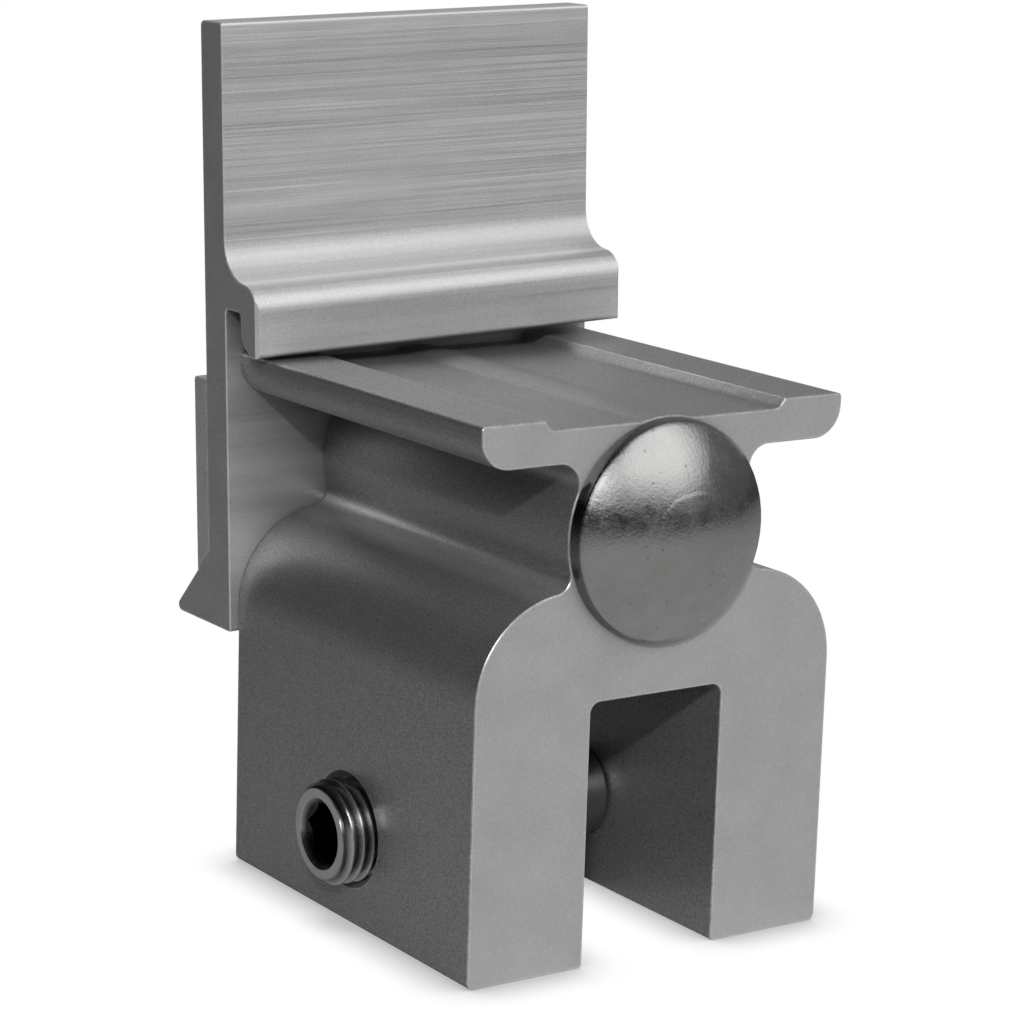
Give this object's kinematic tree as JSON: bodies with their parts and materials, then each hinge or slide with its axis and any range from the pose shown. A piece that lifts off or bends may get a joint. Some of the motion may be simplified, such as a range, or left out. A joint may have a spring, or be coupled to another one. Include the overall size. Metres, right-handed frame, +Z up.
{
  "type": "standing seam clamp",
  "caption": "Slotted aluminium clamp block for a standing roof seam, with a set screw across the slot and a hooked bracket bolted to its rear end.",
  "frame": {"origin": "middle of the seam slot, in the plane of the feet", "axes": "+X to the right across the seam, +Y to the rear along the seam, towards the bracket, +Z up"},
  "size_m": [0.0426, 0.0646, 0.0805],
  "materials": {
    "body_aluminium": "matte extruded, saw-cut ends",
    "bracket_aluminium": "satin extruded with die lines",
    "backing_aluminium": "matte",
    "bolt_steel": "tumbled, lightly pitted",
    "screw_steel": "dark oiled"
  },
  "bodies": {
    "clamp": {"clamp_body": "body_aluminium", "carriage_bolt": "bolt_steel"},
    "bracket": {"bracket": "bracket_aluminium", "backing_plate": "backing_aluminium", "flat_washer": "bolt_steel"},
    "nut": {"hex_nut": "bolt_steel"},
    "screw": {"set_screw": "screw_steel"}
  },
  "joints": [
    {"name": "bracket_pivot", "type": "hinge", "parent": "clamp", "child": "bracket", "pos_m": [0, 0.02, 0.0385], "axis": [0, 1, 0], "range_deg": [-0.9, 4.4]},
    {"name": "nut_turn", "type": "hinge", "parent": "clamp", "child": "nut", "pos_m": [0, 0.031, 0.0385], "axis": [0, 1, 0], "continuous": true},
    {"name": "screw_travel", "type": "slide", "parent": "clamp", "child": "screw", "axis": [-1, 0, 0], "range_m": [0, 0.0139]}
  ]
}
